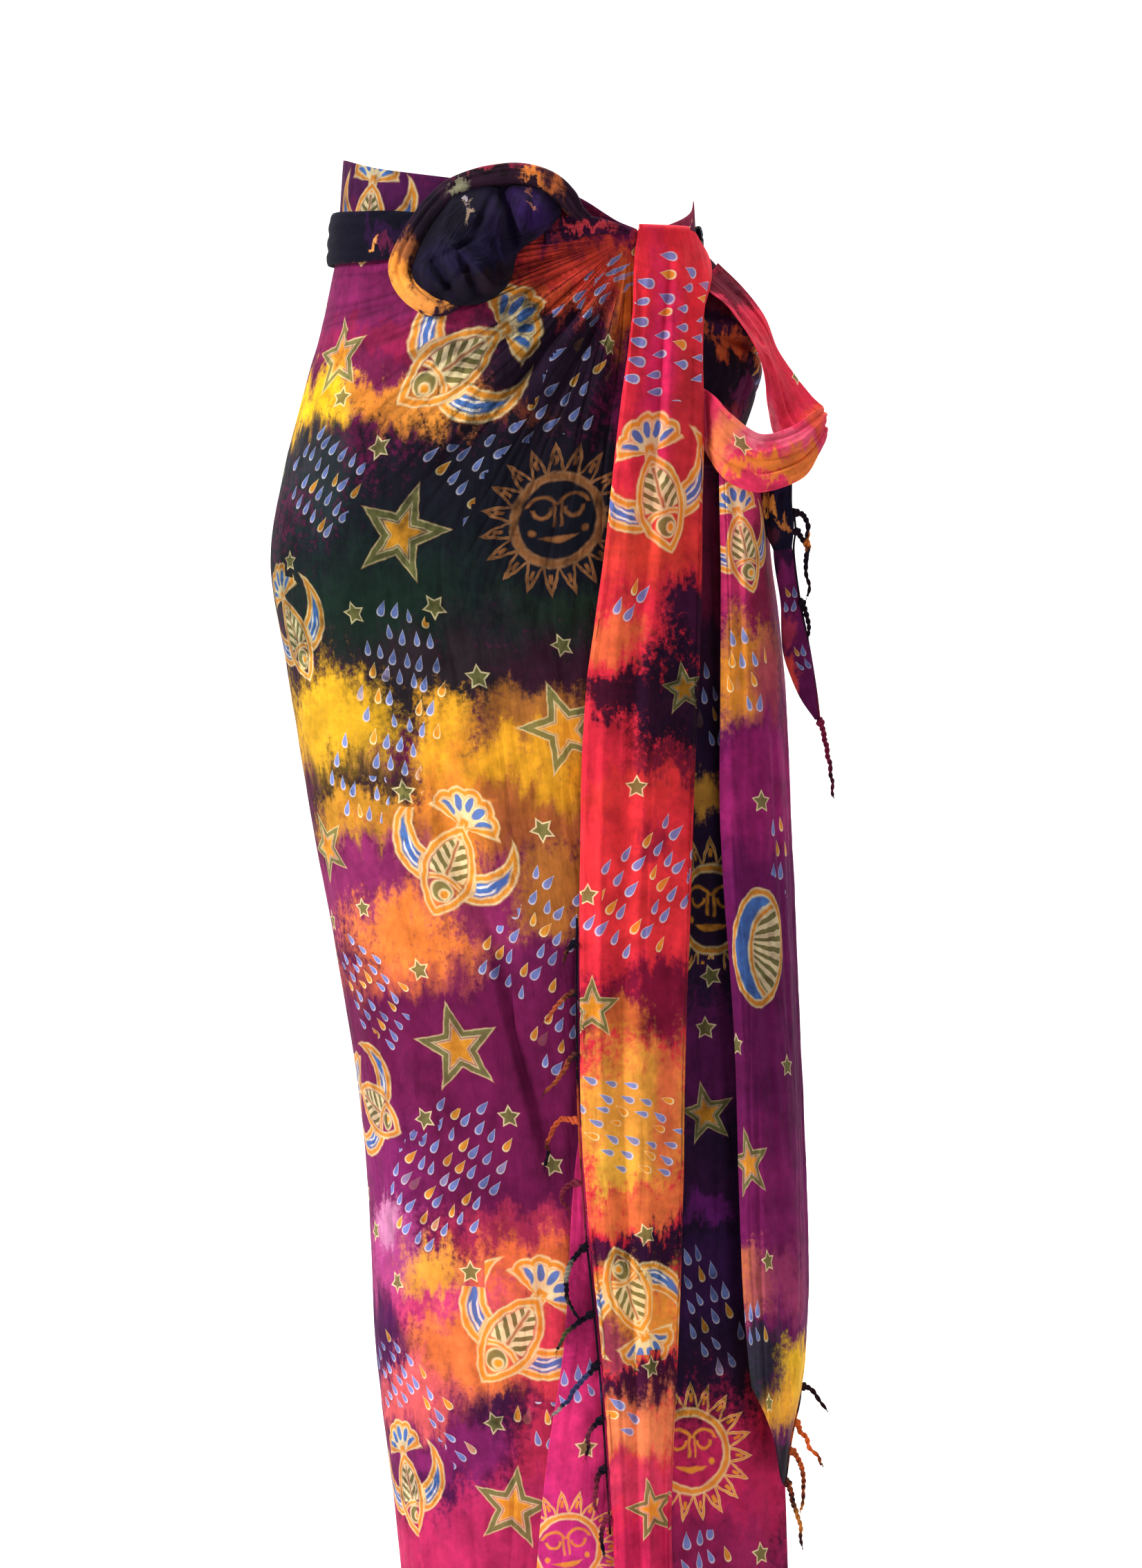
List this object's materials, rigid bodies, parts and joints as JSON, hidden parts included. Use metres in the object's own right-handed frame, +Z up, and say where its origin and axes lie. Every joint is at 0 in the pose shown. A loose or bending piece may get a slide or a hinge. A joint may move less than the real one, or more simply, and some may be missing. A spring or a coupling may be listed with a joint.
{
  "type": "sarong",
  "caption": "Long batik sarong shown as worn, wound round the waist and hips, knotted in front, with a pleated free end hanging over a loop at the hip and fringed short edges.",
  "frame": {"origin": "middle of the waist, where the wearer holds the cloth up", "axes": "+Z up, +X to the wearer's left, -Y to the front"},
  "size_m": [0.4101, 0.2687, 1.0792],
  "materials": {
    "body_wrap": "tie-dyed purple, black and pink rayon with wax-resist motifs",
    "waist_band": "dark navy rayon",
    "knot_core": "dark indigo rayon",
    "knot_loop": "maroon rayon with an orange edge",
    "waist_twist": "dark maroon rayon",
    "front_drape": "red and orange rayon with wax-resist motifs",
    "under_pleat": "pink rayon",
    "mid_drape": "dark rayon with wax-resist motifs",
    "side_drape": "magenta rayon with wax-resist motifs",
    "hip_swag": "dark mottled rayon",
    "hip_loop": "pink and orange rayon",
    "tail_bunch": "dark navy rayon",
    "tail": "purple rayon",
    "front_fringe": "twisted rayon yarn",
    "side_fringe": "twisted rayon yarn",
    "tail_fringe": "twisted rayon yarn"
  },
  "bodies": {
    "root": {"body_wrap": "body_wrap", "waist_band": "waist_band", "knot_core": "knot_core", "knot_loop": "knot_loop", "waist_twist": "waist_twist", "front_drape": "front_drape", "under_pleat": "under_pleat", "mid_drape": "mid_drape", "side_drape": "side_drape", "hip_swag": "hip_swag", "hip_loop": "hip_loop", "tail_bunch": "tail_bunch", "tail": "tail", "front_fringe": "front_fringe", "side_fringe": "side_fringe", "tail_fringe": "tail_fringe"}
  },
  "joints": []
}
